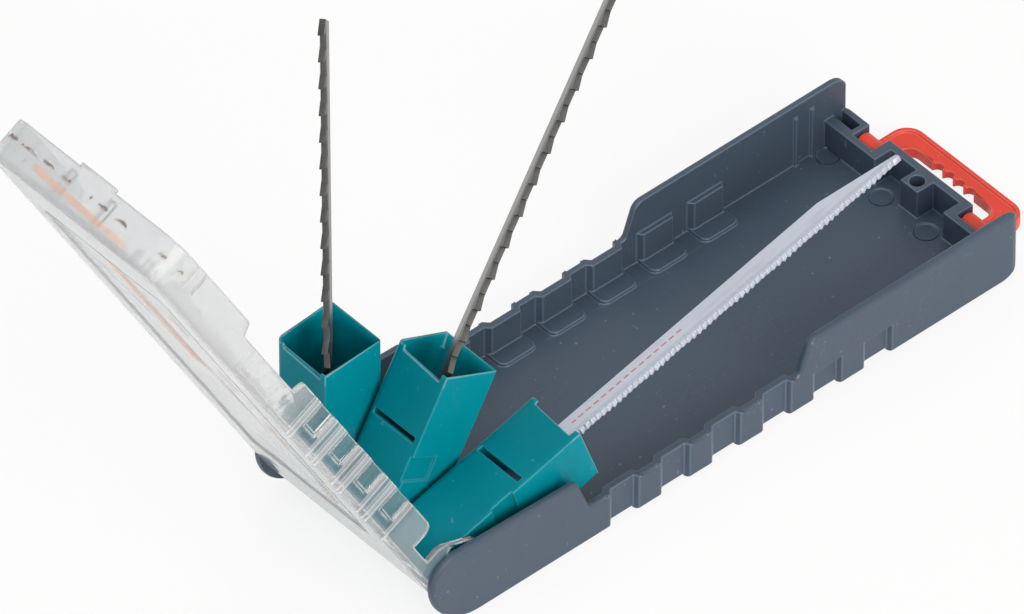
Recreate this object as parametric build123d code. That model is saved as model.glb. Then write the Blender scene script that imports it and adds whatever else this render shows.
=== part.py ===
"""Saw blade storage case: a hinged tray with a clear lid, three swinging blade pockets
and a hanger handle that latches over the end of the lid.

Millimetres. +X runs from the hinge to the handle, +Y away from the front wall, +Z up.
The origin is the middle of the tray's flat underside. Every moving piece is drawn closed
and then swung to the angle at which the case stands open.
"""
import math
import os

from build123d import *

# ---- case ----
case_length = 130.0
case_width = 44.6
wall = 1.4
floor_thickness = 1.1
cheek_height = 15.8          # side wall at the hinge end
cheek_front_height = 14.7    # the same wall where it drops to the low wall
cheek_length = 31.8
cheek_foot = 2.8             # length of the slope down to the low wall
low_wall_height = 7.6
low_wall_length = 46.0
rise_length = 2.4            # length of the slope up to the far wall
far_wall_height = 14.4
hinge_top_radius = 5.0
hinge_bottom_radius = 10.4
end_top_radius = 3.1
end_bottom_radius = 4.2
plan_radius = 2.4
edge_round = 0.7

# ---- grips along both long walls ----
grip_count = 6
grip_pitch = 11.2
first_grip = 42.3            # from the hinge end to the middle of the first grip
grip_length = 5.0
grip_slope = 0.9
grip_depth = 1.0
grip_reach = 4.4             # how far a grip runs under the floor, from the inner wall
grip_floor_rise = 0.6
high_grip_height = 7.6       # a grip in the far wall stops here, under the lid

# ---- end wall ----
end_wall_height = 7.0
end_wall_depth = 5.1
end_skin = 1.5
notch_centre = 12.8          # from the middle of the case to the middle of a handle notch
notch_width = 4.8
notch_side_wall = 2.0
hole_block_width = 4.3
hanging_hole = 2.6
corner_slot = 1.9
corner_slot_wall = 1.1
ejector_mark_radius = 2.1
ejector_mark_depth = 0.15
wall_rib_width = 0.7
wall_rib_depth = 0.5
wall_rib_height = 11.8
wall_rib_places = (11.6, 8.0)    # from the outer face of the end wall

# ---- hinges ----
lid_hinge_x = 5.4            # the lid turns here, from the hinge end
lid_hinge_z = 10.6
stub_diameter = 3.0
stub_length = 0.8            # beyond the lid's ear
rod_x = 8.8                  # the pockets turn here, from the hinge end
rod_z = 7.8
rod_diameter = 2.0
rod_seat_depth = 0.9
heel_opening = 8.6           # the floor starts here, from the hinge end
running_clearance = 0.05
seat_clearance = 0.02
side_clearance = 0.2

# ---- lid ----
lid_height = 15.6            # top of the closed lid above the table
lid_wall = 1.1
lid_open_angle = 118.5
lid_start = 5.4              # from the hinge end
lid_end_gap = 0.3
lid_edge_gap = 0.3           # over the low wall and the end wall
lid_corner = 4.5
ear_height = 2.0             # the ear's straight front edge, without half the rod
ear_front = 6.1              # from the hinge axis to that edge, without half the rod
ear_drop = 6.2               # from the hinge axis down to its lowest point, the same way
ear_slot_gap = 0.2           # round the pockets' rod, which passes through the ear
ear_gap_end = 18.4           # end of the notch between the ear and the skirt
ear_gap_height = 12.4
skirt_step_start = 75.6      # the skirt is shorter between these two places
skirt_step_end = 99.6
skirt_step_rise = 2.2
panel_count = 4              # sunk panels along the lid's skirt, over the low wall
panel_pitch = 11.2
first_panel = 31.1           # from the hinge end
panel_length = 5.2
panel_depth = 0.6            # sunk into the outer face
panel_bulge = 0.3            # and raised on the inner one
panel_slope = 0.6
panel_top_gap = 3.0
lug_half = 4.2               # proud lug in the middle of the end wall's free edge
lug_rise = 0.7
end_rib_width = 1.2          # ribs beside the lug
end_rib_depth = 1.4
label_margin_x = 16.0
label_margin_y = 6.0
label_thickness = 0.15

# ---- pockets ----
pocket_width = 12.4
pocket_gap = 0.5
pocket_length = 29.1         # from the rod to the mouth
pocket_top = 6.4             # above the rod when closed
pocket_lift = 0.75           # between a closed pocket and the floor
pocket_heel = 5.8            # from the rod to the rounded rear end
pocket_wall = 1.0
pocket_mouth_slant = 0.8
pocket_back = 7.0            # from the rod to the bottom of the pocket's hollow
pocket_corner = 0.6
pocket_far_corner = 1.5
mouth_chamfer = 0.7
scoop_far = 0.8              # how far the mouth's top edge is cut back at its far end
scoop_near = 1.4             # and at its near end
scoop_near_margin = 0.9
pocket_slot_place = 16.4
pocket_slot_width = 1.0
pocket_slot_length = 9.8
side_step_start = 9.2
side_step_end = 13.7
side_step_depth = 0.5
side_step_drop = 6.0
pocket_angles = {"front": 15.4, "middle": 60.8, "rear": 90.3}

# ---- blades ----
blade_width = 7.4
shank_width = 5.6
shank_length = 22.0
lug_width = 7.4
lug_length = 3.2
lug_place = 9.0
corner_seat = 0.2            # from the toothed edge to the pocket's inner corner
tooth_depth = 1.5
blades = {
    # length, thickness, tooth pitch, lean in the pocket, dip to the tip, length of the tip
    "front": (95.5, 1.0, 1.2, 57.0, 1.4, 14.0),
    "middle": (100.0, 1.0, 3.0, 44.0, 1.2, 6.2),
    "rear": (99.5, 1.0, 3.0, 44.0, 0.0, 6.2),
}

# ---- handle ----
handle_reach = 10.3          # from the pivot to the outer edge of the bar
bar_width = 3.6
handle_thickness = 2.2
handle_drop = 4.2            # from the pivot to the underside of the handle
handle_side_gap = 0.25
pivot_x = 1.8                # in from the outer face of the end wall
pivot_z = 4.6
barrel_radius = 1.7
barrel_gap = 0.2             # between the barrel and the back of its notch
pin_diameter = 2.2
pin_length = 0.8
handle_outer_corner = 3.6
handle_inner_corner = 2.4
scallop_count = 4
scallop_pitch = 2.6
scallop_radius = 1.1
rim_width = 0.8
rim_depth = 0.5

# ---- places worked out from the sizes above ----
hinge_end = -case_length / 2
outer_end = case_length / 2
half_width = case_width / 2
inner_half = half_width - wall
lid_x = hinge_end + lid_hinge_x
axis_x = hinge_end + rod_x
lid_line = Axis((lid_x, 0, lid_hinge_z), (0, -1, 0))
rod_line = Axis((axis_x, 0, rod_z), (0, -1, 0))
end_inner = outer_end - end_wall_depth
lid_half = inner_half - side_clearance
lid_under = lid_height - lid_wall
pocket_depth = pocket_top + rod_z - floor_thickness - pocket_lift
pocket_pitch = pocket_width + pocket_gap


def block(x0, x1, y0, y1, z0, z1):
    """A box between two corners."""
    middle = Pos((x0 + x1) / 2, (y0 + y1) / 2, (z0 + z1) / 2)
    return middle * Box(x1 - x0, y1 - y0, z1 - z0)


def cylinder_y(radius, x, z, y0, y1):
    """A cylinder lying along Y."""
    return Pos(x, (y0 + y1) / 2, z) * Rot(90, 0, 0) * Cylinder(radius, y1 - y0)


def slab_y(face, y0, y1):
    """A face drawn in X and Z, as thick as the distance between y0 and y1."""
    return extrude(Plane.XZ.offset(-y0) * face, y1 - y0, dir=(0, 1, 0))


def slab_z(face, z0, z1):
    """A face drawn in X and Y, as thick as the distance between z0 and z1."""
    return extrude(Pos(0, 0, z0) * face, z1 - z0, dir=(0, 0, 1))


def within(shape, keep):
    """The part of a shape that lies inside another one."""
    room = block(-200, 200, -200, 200, -200, 200)
    return shape - (room - keep)


def rounded(corners):
    """A closed face from corners given as (x, y, radius)."""
    lines = []
    last_end = None
    for k in range(-1, len(corners)):
        x, y, radius = corners[k]
        corner = Vector(x, y)
        back = (Vector(*corners[k - 1][:2]) - corner).normalized()
        ahead = (Vector(*corners[(k + 1) % len(corners)][:2]) - corner).normalized()
        half_angle = math.radians(back.get_angle(ahead)) / 2
        reach = radius / math.tan(half_angle)
        start, end = corner + back * reach, corner + ahead * reach
        if k >= 0 and (start - last_end).length > 0.001:
            lines.append(Line(last_end, start))
        if k >= 0 and radius > 0:
            inward = (back + ahead).normalized()
            middle = corner + inward * (radius / math.sin(half_angle) - radius)
            lines.append(ThreePointArc(start, middle, end))
        last_end = end
    return make_face(lines)


def both_sides(shape):
    """A shape and its mirror image across the middle of the case."""
    return [shape, mirror(shape, Plane.XZ)]


def export(shape, name):
    """One STEP file for each piece."""
    shape.label = name
    export_step(shape, f"parts/{name}.step")


# ---------------------------------------------------------------- tray

def tray_outline():
    """Side view of the tray: round hinge end, low middle, tall far end."""
    low_start = hinge_end + cheek_length + cheek_foot
    low_end = low_start + low_wall_length
    return rounded([
        (hinge_end, 0, hinge_bottom_radius),
        (hinge_end, cheek_height, hinge_top_radius),
        (hinge_end + cheek_length, cheek_front_height, 1.0),
        (low_start, low_wall_height, 0.9),
        (low_end, low_wall_height, 1.2),
        (low_end + rise_length, far_wall_height, 2.4),
        (outer_end, far_wall_height, end_top_radius),
        (outer_end, 0, end_bottom_radius),
    ])


def tray_plan():
    """Top view of the tray, rounded at the far corners."""
    plan = Rectangle(case_length, case_width)
    far_corners = plan.vertices().sort_by(Axis.X)[2:]
    return fillet(far_corners, plan_radius)


def grip_places():
    return [hinge_end + first_grip + grip_pitch * k for k in range(grip_count)]


def grip_shape(x, depth_at, grow, z0, z1):
    """A trapezium in plan, its outer edge on the front wall's outer face."""
    half = grip_length / 2 + grow
    outline = Polyline(
        (x - half - grip_slope, -half_width - 1),
        (x - half - grip_slope, -half_width + depth_at - grip_depth),
        (x - half, -half_width + depth_at),
        (x + half, -half_width + depth_at),
        (x + half + grip_slope / 2, -half_width + depth_at - grip_depth),
        (x + half + grip_slope / 2, -half_width - 1),
        close=True,
    )
    return slab_z(make_face(outline), z0, z1)


def grip_top(x):
    """Grips in the low wall run out at its top; those in the far wall stop short."""
    low_end = hinge_end + cheek_length + cheek_foot + low_wall_length
    return high_grip_height if x > low_end else far_wall_height + 2


def tray():
    body = slab_y(tray_outline(), -half_width, half_width)
    long_edges = [e for e in body.edges()
                  if abs(e.center().Y) > half_width - 0.01 and e.center().Z < end_bottom_radius]
    body = fillet(long_edges, edge_round)
    body = within(body, slab_z(tray_plan(), -1, cheek_height + 1))

    inside = rounded([
        (hinge_end + floor_thickness, floor_thickness, hinge_bottom_radius - floor_thickness),
        (hinge_end + floor_thickness, cheek_height + 1, 0),
        (end_inner, cheek_height + 1, 0),
        (end_inner, floor_thickness, 0),
    ])
    body -= slab_y(inside, -inner_half, inner_half)
    body -= block(hinge_end - 1, hinge_end + heel_opening, -inner_half, inner_half,
                  -1, cheek_height + 1)
    body -= block(end_inner - 0.1, outer_end + 1, -inner_half, inner_half,
                  end_wall_height, cheek_height + 1)

    for x in grip_places():
        top = grip_top(x)
        inner_depth = wall + grip_depth
        panel = grip_shape(x, inner_depth, wall / 2, floor_thickness / 2, top)
        panel = within(panel, slab_y(tray_outline(), -half_width, 0))
        pad = block(x - grip_length / 2 - wall, x + grip_length / 2 + wall,
                    -inner_half - 0.1, -inner_half + grip_reach,
                    floor_thickness / 2, floor_thickness + grip_floor_rise)
        pad_corners = pad.edges().filter_by(Axis.Z).sort_by(Axis.Y)[-2:]
        pad = fillet(pad_corners, wall)
        for piece in both_sides(panel + pad):
            body += piece
        groove = grip_shape(x, grip_depth, 0, -1, top - wall)
        under = block(x - grip_length / 2, x + grip_length / 2,
                      -half_width - 1, -inner_half + grip_reach - wall,
                      -1, grip_floor_rise)
        for piece in both_sides(groove + under):
            body -= piece

    body = finish_end_wall(body)

    for place in wall_rib_places:
        x = outer_end - place
        rib = block(x - wall_rib_width / 2, x + wall_rib_width / 2,
                    -inner_half - 0.1, -inner_half + wall_rib_depth,
                    floor_thickness / 2, wall_rib_height)
        for piece in both_sides(rib):
            body += piece
    for y in (-inner_half + ejector_mark_radius, -half_width / 4,
              half_width / 4, inner_half - ejector_mark_radius):
        mark = Pos(end_inner - ejector_mark_radius / 2, y, floor_thickness)
        body -= mark * Cylinder(ejector_mark_radius, 2 * ejector_mark_depth)

    body -= cylinder_y(rod_diameter / 2 + seat_clearance, axis_x, rod_z,
                       -inner_half - rod_seat_depth, inner_half + rod_seat_depth)
    return body - cylinder_y(stub_diameter / 2 + running_clearance, lid_x, lid_hinge_z,
                             -inner_half - rod_seat_depth, inner_half + rod_seat_depth)


def finish_end_wall(body):
    """Cut the handle notches, wells, corner slots and hanging hole."""
    notch_in = notch_centre - notch_width / 2
    notch_out = notch_centre + notch_width / 2
    notch_back = outer_end - pivot_x - barrel_radius - barrel_gap
    notch = block(notch_back, outer_end + 1, notch_in, notch_out, -1, cheek_height)
    well_out = notch_in - notch_side_wall
    well_in = hole_block_width / 2
    well = block(end_inner - 1, outer_end - end_skin, well_in, well_out,
                 floor_thickness, cheek_height)
    slot_middle = outer_end - end_wall_depth / 2 + 0.4
    slot = block(slot_middle - corner_slot / 2, slot_middle + corner_slot / 2,
                 notch_out + corner_slot_wall, inner_half,
                 floor_thickness, end_wall_height + 1)
    pivot = cylinder_y(pin_diameter / 2 + running_clearance, outer_end - pivot_x, pivot_z,
                       notch_in - pin_length - 0.1, notch_out + pin_length + 0.1)
    for cut in (notch, well, slot, pivot):
        for piece in both_sides(cut):
            body -= piece
    hole = Pos(end_inner + end_wall_depth / 3 + 0.2, 0, end_wall_height / 2)
    return body - hole * Cylinder(hanging_hole / 2, end_wall_height + 2)


# ---------------------------------------------------------------- lid

def lid_plan(half, start, end, radius):
    plan = Pos((start + end) / 2, 0) * Rectangle(end - start, 2 * half)
    return fillet(plan.vertices().sort_by(Axis.X)[2:], radius)


def skirt_face():
    """Side view of the lid's skirt, stepped along its lower edge."""
    low = low_wall_height + lid_edge_gap
    high = low + skirt_step_rise
    end = outer_end - lid_end_gap
    return rounded([
        (hinge_end + ear_gap_end, lid_height, 0),
        (hinge_end + ear_gap_end, low, 2.0),
        (hinge_end + skirt_step_start, low, 0.8),
        (hinge_end + skirt_step_start + 0.6, high, 0.5),
        (hinge_end + skirt_step_end - 1.6, high, 0.5),
        (hinge_end + skirt_step_end, low, 0.8),
        (end, low, 0),
        (end, lid_height, 0),
    ])


def ear_face():
    """Side view of the ear that carries the lid on the hinge rod."""
    round_end = Pos(lid_x, lid_hinge_z) * Circle(lid_height - lid_hinge_z)
    front = lid_x + ear_front + rod_diameter / 2
    plate = rounded([
        (lid_x, lid_height, 0),
        (front, lid_height, 0),
        (front, ear_gap_height - ear_height - rod_diameter / 2, 2.0),
        (lid_x + 0.4, lid_hinge_z - ear_drop - rod_diameter / 2, 1.4),
        (lid_x - 3.2, lid_hinge_z - 3.7, 1.0),
    ])
    return round_end + plate - ear_slot()


def ear_slot():
    """Curved slot in the ear that lets the lid swing past the pockets' rod."""
    across, down = axis_x - lid_x, lid_hinge_z - rod_z
    radius = math.hypot(across, down)
    half_slot = rod_diameter / 2 + ear_slot_gap
    closed = -math.degrees(math.atan2(down, across))
    line = CenterArc((lid_x, lid_hinge_z), radius, closed, -lid_open_angle)
    ring = Circle(radius + half_slot) - Circle(radius - half_slot)
    wedge = [(0, 0)]
    steps = 8
    for k in range(steps + 1):
        angle = math.radians(closed - lid_open_angle * k / steps)
        wedge.append((20 * math.cos(angle), 20 * math.sin(angle)))
    sweep_area = make_face(Polyline(*wedge, close=True))
    slot = ring & sweep_area
    slot = Pos(lid_x, lid_hinge_z) * slot
    for end in (line @ 0, line @ 1):
        slot += Pos(end.X, end.Y) * Circle(half_slot)
    return slot


def lid():
    start = hinge_end + lid_start
    end = outer_end - lid_end_gap
    outer = slab_z(lid_plan(lid_half, start, end, lid_corner), 0, lid_height + 1)
    inner = slab_z(lid_plan(lid_half - lid_wall, start - 5, end - lid_wall,
                            lid_corner - lid_wall), 0, lid_height + 1)
    plate = within(outer, block(start - 1, end + 1, -half_width, half_width,
                                lid_under, lid_height))
    ring = outer - inner
    skirt = within(ring, slab_y(skirt_face(), -half_width, half_width))
    bridge = within(ring, block(start - 1, hinge_end + ear_gap_end + 1,
                                -half_width, half_width, ear_gap_height, lid_height))
    body = plate + skirt + bridge
    ear = slab_y(ear_face(), -lid_half, -lid_half + lid_wall)
    stub = cylinder_y(stub_diameter / 2, lid_x, lid_hinge_z,
                      -lid_half - stub_length, -lid_half + lid_wall / 2)
    for piece in both_sides(ear + stub):
        body += piece

    for k in range(panel_count):
        x = hinge_end + first_panel + panel_pitch * k
        low = low_wall_height + lid_edge_gap
        top = lid_height - panel_top_gap
        inner_face = -lid_half + lid_wall
        raised = panel_shape(x, inner_face - 0.1, inner_face + panel_bulge,
                             low, top, -panel_slope)
        sunk = panel_shape(x, -lid_half - 0.1, -lid_half + panel_depth,
                           low - 1, top - 0.5, -panel_slope)
        for piece in both_sides(raised):
            body += piece
        for piece in both_sides(sunk):
            body -= piece
    for place in wall_rib_places:
        x = outer_end - place
        half = wall_rib_width / 2 + side_clearance
        groove = block(x - half, x + half, -lid_half - 1, -inner_half + wall_rib_depth
                       + side_clearance, 0, wall_rib_height + side_clearance)
        for piece in both_sides(groove):
            body -= piece
    return finish_lid_end(body) - label_block(label_thickness + 0.05)


def panel_shape(x, y0, y1, z0, z1, growth):
    """A panel across the skirt, whose ends slope by growth on the way to y1."""
    half = panel_length / 2
    outline = Polyline((x - half, y0), (x - half - growth, y1),
                       (x + half + growth, y1), (x + half, y0), close=True)
    return slab_z(make_face(outline), z0, z1)


def finish_lid_end(body):
    """The lug on the end wall's free edge and the ribs on both sides of it."""
    outer = outer_end - lid_end_gap
    low = low_wall_height + lid_edge_gap
    body += block(outer - lid_wall, outer, -lug_half, lug_half, low - lug_rise, low + 0.1)
    rib = block(outer - lid_wall - end_rib_depth, outer - lid_wall + 0.1,
                lug_half, lug_half + end_rib_width, low + 1.2, lid_under + 0.1)
    for piece in both_sides(rib):
        body += piece
    return body


def label_block(depth):
    """The space of the label on top of the closed lid."""
    start = hinge_end + lid_start + label_margin_x
    end = outer_end - lid_end_gap - label_margin_x
    half = lid_half - label_margin_y
    plate = block(start, end, -half, half, lid_height - depth, lid_height + 0.5)
    return fillet(plate.edges().filter_by(Axis.Z), 2.0)


def label():
    film = label_block(label_thickness + 0.05)
    return within(film, block(hinge_end, outer_end, -half_width, half_width,
                              lid_height - label_thickness - 0.05, lid_height - 0.05))


# ---------------------------------------------------------------- pockets

def pocket_outline():
    """Side view of a closed pocket: a box in front, rounded round the rod behind."""
    top = rod_z + pocket_top
    bottom = top - pocket_depth
    mouth = axis_x + pocket_length
    return rounded([
        (mouth, top, 0.3),
        (mouth + pocket_mouth_slant, bottom, 0.5),
        (axis_x - pocket_heel, bottom, pocket_depth - pocket_top),
        (axis_x - pocket_heel, top, pocket_top - 0.05),
    ])


def pocket(y0):
    """A closed pocket whose front face is at y0."""
    y1 = y0 + pocket_width
    top = rod_z + pocket_top
    bottom = top - pocket_depth
    mouth = axis_x + pocket_length
    body = slab_y(pocket_outline(), y0, y1)
    section = Rectangle(pocket_width, pocket_depth)
    corners = section.vertices()
    far_top = corners.sort_by(Axis.Y)[2:].sort_by(Axis.X)[1:]
    section = fillet(far_top, pocket_far_corner)
    section = fillet(section.vertices().sort_by(Axis.Y)[:2], pocket_corner)
    across = Plane((axis_x - 10, (y0 + y1) / 2, (top + bottom) / 2),
                   x_dir=(0, 1, 0), z_dir=(1, 0, 0))
    body = within(body, extrude(across * section, pocket_length + 20, dir=(1, 0, 0)))

    hollow = block(axis_x + pocket_back, mouth + 5, y0 + pocket_wall, y1 - pocket_wall,
                   bottom + pocket_wall, top - pocket_wall)
    hollow = fillet(hollow.edges().filter_by(Axis.X), 0.4)
    mouth_face = Plane((mouth + pocket_mouth_slant / 2, (y0 + y1) / 2, (top + bottom) / 2),
                       x_dir=(0, 1, 0), z_dir=(1, 0, 0))
    inner_w = pocket_width - 2 * pocket_wall
    inner_h = pocket_depth - 2 * pocket_wall
    flare = loft([
        mouth_face.offset(-2.0) * Rectangle(inner_w, inner_h),
        mouth_face.offset(1.0) * Rectangle(inner_w + 3 * mouth_chamfer,
                                           inner_h + 3 * mouth_chamfer),
    ])
    body -= hollow
    body -= flare
    scoop = make_face(Polyline(
        (mouth + 3, y1 - pocket_far_corner),
        (mouth - scoop_far, y1 - pocket_far_corner - 0.6),
        (mouth - scoop_near, y0 + scoop_near_margin + 0.5),
        (mouth + 3, y0 + scoop_near_margin), close=True))
    body -= slab_z(scoop, top - pocket_wall - 0.6, top + 1)
    body -= block(axis_x + pocket_slot_place - pocket_slot_width / 2,
                  axis_x + pocket_slot_place + pocket_slot_width / 2,
                  (y0 + y1 - pocket_slot_length) / 2, (y0 + y1 + pocket_slot_length) / 2,
                  top - pocket_wall - 1, top + 1)
    body -= block(axis_x + side_step_start, axis_x + side_step_end,
                  y0 - 1, y0 + side_step_depth, top - side_step_drop, top + 1)
    bore = cylinder_y(rod_diameter / 2 + running_clearance, axis_x, rod_z, y0 - 1, y1 + 1)
    return body - bore


# ---------------------------------------------------------------- blades

def blade_face(length, pitch, tip_length):
    """Flat view of a blade along X, its toothed edge on y = 0 and its back on +Y."""
    toothed_start = shank_length
    tooth_count = int((length - toothed_start - 1.0) / pitch)
    depth = min(tooth_depth, pitch * 0.5)
    points = [(0, (blade_width - shank_width) / 2)]
    points += [(toothed_start - 2, (blade_width - shank_width) / 2), (toothed_start, 0)]
    for k in range(tooth_count):
        x = toothed_start + k * pitch
        points += [(x + pitch * 0.75, depth), (x + pitch, 0)]
    points += [(length, 0.3), (length, 1.4), (length - tip_length, blade_width)]
    points += [(toothed_start, blade_width),
               (toothed_start - 2, (blade_width + shank_width) / 2),
               (0, (blade_width + shank_width) / 2)]
    face = make_face(Polyline(*points, close=True))
    lug = Pos(lug_place + lug_length / 2, blade_width / 2) * Rectangle(lug_length, lug_width)
    return face + lug


def blade(name, y0):
    """A blade in its closed pocket, its toothed edge in the upper front corner."""
    length, thickness, pitch, lean, dip, tip_length = blades[name]
    flat = extrude(blade_face(length, pitch, tip_length), thickness / 2, both=True)
    seat = Plane(
        (axis_x + pocket_back,
         y0 + pocket_wall + corner_seat + thickness / 2,
         rod_z + pocket_top - pocket_wall - corner_seat - thickness / 2),
        x_dir=(1, 0, 0),
        z_dir=(0, math.cos(math.radians(lean)), math.sin(math.radians(lean))),
    )
    across = seat.y_dir
    if across.Z > 0:
        flat = Rot(180, 0, 0) * flat
    closed = (seat * flat).rotate(Axis(seat.origin, (0, 1, 0)), dip)
    lean_angle, dip_angle = math.radians(lean), math.radians(dip)
    drop = ((blade_width + shank_width) * math.cos(lean_angle)
            + thickness * math.sin(lean_angle)) / 2
    return Pos(drop * math.sin(dip_angle), 0, 0) * closed


# ---------------------------------------------------------------- handle

def handle():
    """The hanger handle, hanging open below its pivot."""
    pivot = outer_end - pivot_x
    outer = pivot + handle_reach
    arm_out = notch_centre + notch_width / 2 - handle_side_gap
    arm_in = notch_centre - notch_width / 2 + handle_side_gap
    low = pivot_z - handle_drop
    high = low + handle_thickness
    loop = Pos((pivot - barrel_radius + outer) / 2, 0) * Rectangle(
        outer - pivot + barrel_radius, 2 * arm_out)
    loop = fillet(loop.vertices().sort_by(Axis.X)[2:], handle_outer_corner)
    window_start = pivot - barrel_radius - 2
    window = Pos((window_start + outer - bar_width) / 2, 0) * Rectangle(
        outer - bar_width - window_start, 2 * arm_in)
    window = fillet(window.vertices().sort_by(Axis.X)[2:], handle_inner_corner)
    frame = loop - window
    for k in range(scallop_count):
        y = (k - (scallop_count - 1) / 2) * scallop_pitch
        frame -= Pos(outer - bar_width, y) * Circle(scallop_radius)
    body = slab_z(frame, low, high)
    rim_face = loop - offset(loop, -rim_width, kind=Kind.INTERSECTION)
    sunk = (loop - rim_face) & (Pos(outer - bar_width / 2 - 2, 0) * Rectangle(8, 4 * arm_out))
    channel = slab_z(sunk, high - rim_depth, high + 1)
    inner_keep = offset(window, rim_width / 2, kind=Kind.INTERSECTION)
    body -= channel - slab_z(inner_keep, low, high + 2)

    web = block(pivot - barrel_radius, pivot + barrel_radius, arm_in, arm_out, low, pivot_z)
    barrel = cylinder_y(barrel_radius, pivot, pivot_z, arm_in, arm_out)
    pin = cylinder_y(pin_diameter / 2, pivot, pivot_z, arm_in - handle_side_gap - pin_length,
                     arm_out + handle_side_gap + pin_length)
    for piece in both_sides(web + barrel + pin):
        body += piece
    return body


# ---------------------------------------------------------------- assembly

def main():
    os.makedirs("parts", exist_ok=True)
    export(tray(), "base_tray")
    export(lid().rotate(lid_line, lid_open_angle), "lid")
    export(label().rotate(lid_line, lid_open_angle), "lid_label")
    rod = cylinder_y(rod_diameter / 2, axis_x, rod_z,
                     -inner_half - rod_seat_depth, inner_half + rod_seat_depth)
    export(rod, "hinge_rod")
    for place, name in enumerate(("front", "middle", "rear")):
        y0 = (place - 1) * pocket_pitch - pocket_width / 2
        angle = pocket_angles[name]
        export(pocket(y0).rotate(rod_line, angle), f"pocket_{name}")
        export(blade(name, y0).rotate(rod_line, angle), f"blade_{name}")
    export(handle(), "hanger_handle")


main()
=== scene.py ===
"""The looks of a hinged saw blade case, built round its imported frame."""
import math

import bpy
from bpy.props import FloatProperty, FloatVectorProperty, PointerProperty
from bpy.types import Operator, Panel, PropertyGroup
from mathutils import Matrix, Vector
from mathutils.bvhtree import BVHTree
from mathutils.kdtree import KDTree


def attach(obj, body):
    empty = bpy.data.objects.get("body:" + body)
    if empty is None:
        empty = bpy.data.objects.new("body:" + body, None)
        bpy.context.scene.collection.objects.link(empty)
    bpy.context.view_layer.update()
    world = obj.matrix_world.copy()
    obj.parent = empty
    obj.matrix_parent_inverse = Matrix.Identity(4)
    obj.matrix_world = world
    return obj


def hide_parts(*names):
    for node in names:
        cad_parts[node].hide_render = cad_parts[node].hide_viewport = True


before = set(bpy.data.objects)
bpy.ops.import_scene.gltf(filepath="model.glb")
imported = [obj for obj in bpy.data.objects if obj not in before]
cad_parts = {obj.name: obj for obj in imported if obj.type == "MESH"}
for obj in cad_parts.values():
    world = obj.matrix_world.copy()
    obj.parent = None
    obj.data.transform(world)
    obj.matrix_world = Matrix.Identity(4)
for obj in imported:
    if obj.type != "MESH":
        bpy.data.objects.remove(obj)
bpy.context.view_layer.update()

bl_info = {
    "name": "Saw blade case",
    "version": (1, 0, 0),
    "blender": (4, 5, 0),
    "location": "View3D > Sidebar > Blade case",
    "description": "Builds the pieces, finishes and stage of a saw blade case",
    "category": "Object",
}

MM = 0.001
BLADE_NODES = ("blade_front", "blade_middle", "blade_rear")
POCKET_NODES = ("pocket_front", "pocket_middle", "pocket_rear")

# Where the case turns, in the frame, and how far its lid stands open.
ROD_ALONG, ROD_HEIGHT = -56.2 * MM, 7.8 * MM
LID_HINGE = (-59.6 * MM, 0.0, 10.6 * MM)
LID_ANGLE = math.radians(118.5)

# Rounded edges. The angles are the largest turn that counts as flat, the least turns that
# are rounded on moulded and on stamped pieces, and the largest turn that is shaded smooth.
# A stray point lies off the square shape by more than a share of the rounding's width.
SAME_POINT = 0.0005 * MM
CLOSE_POINTS = 0.06 * MM
FLAT_ANGLE = math.radians(0.5)
MOULDED_ANGLE = math.radians(28)
STAMPED_ANGLE = math.radians(50)
SMOOTH_ANGLE = math.radians(50)
FLAT_FACE_WEIGHT = 60
STRAY_SHARE, STRAY_ROUNDS = 0.55, 4
# The tray's rounded edges are a lighter blue-grey: a painted highlight along them.
TRAY_EDGE_HIGHLIGHT = 1.45

# Teeth: how deep their tips reach in, how much less the fine ones lean, and the cosine of
# the least turn at the blade's back.
TIP_DEPTH = 0.03 * MM
FINE_LEAN = 0.6
SHARP_COSINE = 0.5

# The stage, in metres. The camera sees as far as a few of its distances.
FLOOR_SIZE = 6.0
FLOOR_DROP = 0.05 * MM
FIBRE_SIZE, FIBRE_SHADES = 3 * MM, (0.99, 1.01)
KEY_PLACE, KEY_SIZE, KEY_COLOUR = (-0.32, 0.1, 0.93), 0.9, (1.0, 1.0, 1.0)
SIDE_PLACE, SIDE_SIZE, SIDE_COLOUR = (-0.12, -0.88, 0.4), 0.7, (1.0, 0.9, 0.84)
CLIP_DISTANCES = 4


# ---------------------------------------------------------------- settings

class BladeCaseSizes(PropertyGroup):
    """Small sizes that the looks add to the frame."""

    tray_edge: FloatProperty(
        name="Tray edge", description="Rounding of the tray's moulded edges",
        default=0.22 * MM, unit="LENGTH")
    lid_edge: FloatProperty(
        name="Lid edge", description="Rounding of the clear lid's edges",
        default=0.26 * MM, unit="LENGTH")
    pocket_edge: FloatProperty(
        name="Pocket edge", description="Rounding of the pockets' edges",
        default=0.2 * MM, unit="LENGTH")
    handle_edge: FloatProperty(
        name="Handle edge", description="Rounding of the handle's edges",
        default=0.2 * MM, unit="LENGTH")
    blade_edge: FloatProperty(
        name="Blade edge", description="Softening of the blades' stamped edges",
        default=0.06 * MM, unit="LENGTH")
    tooth_set: FloatProperty(
        name="Tooth set", description="How far a tooth leans out of the blade",
        default=0.24 * MM, unit="LENGTH")
    tooth_pitch: FloatProperty(
        name="Tooth pitch", description="From tooth to tooth on the two coarse blades",
        default=3.0 * MM, unit="LENGTH")
    fine_pitch: FloatProperty(
        name="Fine pitch", description="From tooth to tooth on the fine blade",
        default=1.2 * MM, unit="LENGTH")
    tooth_band: FloatProperty(
        name="Tooth band", description="Width of the ground strip along the teeth",
        default=1.9 * MM, unit="LENGTH")
    wave_length: FloatProperty(
        name="Wave length", description="Length of one wave of the fine wavy set",
        default=9.6 * MM, unit="LENGTH")


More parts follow.
